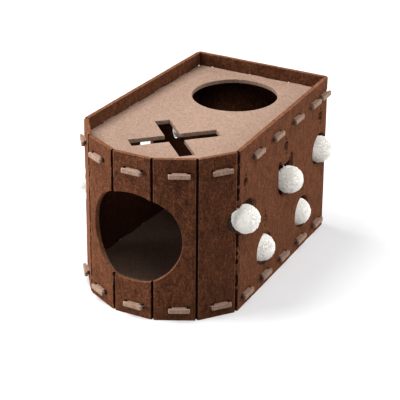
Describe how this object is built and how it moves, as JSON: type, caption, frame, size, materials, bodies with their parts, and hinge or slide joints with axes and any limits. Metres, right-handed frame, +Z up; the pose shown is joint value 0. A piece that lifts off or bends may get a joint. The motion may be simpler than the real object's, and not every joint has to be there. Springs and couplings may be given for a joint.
{
  "type": "felt cat cave",
  "caption": "Folded felt cat cave with a round entrance, a slotted-in top with a round hole and a cross-shaped cut, and yarn pompoms hung in holes along its sides",
  "frame": {"origin": "middle of the footprint, on the floor that the wall stands on", "axes": "+Z up; the entrance faces -Y; +X is the object's right side seen from the front"},
  "size_m": [0.3658, 0.5028, 0.3],
  "materials": {
    "brown_felt": "matt needle felt, brown melange",
    "beige_felt": "matt needle felt, pinkish beige",
    "white_yarn": "soft cut yarn pile"
  },
  "bodies": {
    "root": {"wall": "brown_felt", "top_panel": "beige_felt", "floor_panel": "beige_felt", "pompom_left_1": "white_yarn", "pompom_left_2": "white_yarn", "pompom_left_3": "white_yarn", "pompom_right_1": "white_yarn", "pompom_right_2": "white_yarn", "pompom_right_3": "white_yarn", "pompom_right_4": "white_yarn", "pompom_right_5": "white_yarn"}
  },
  "joints": []
}
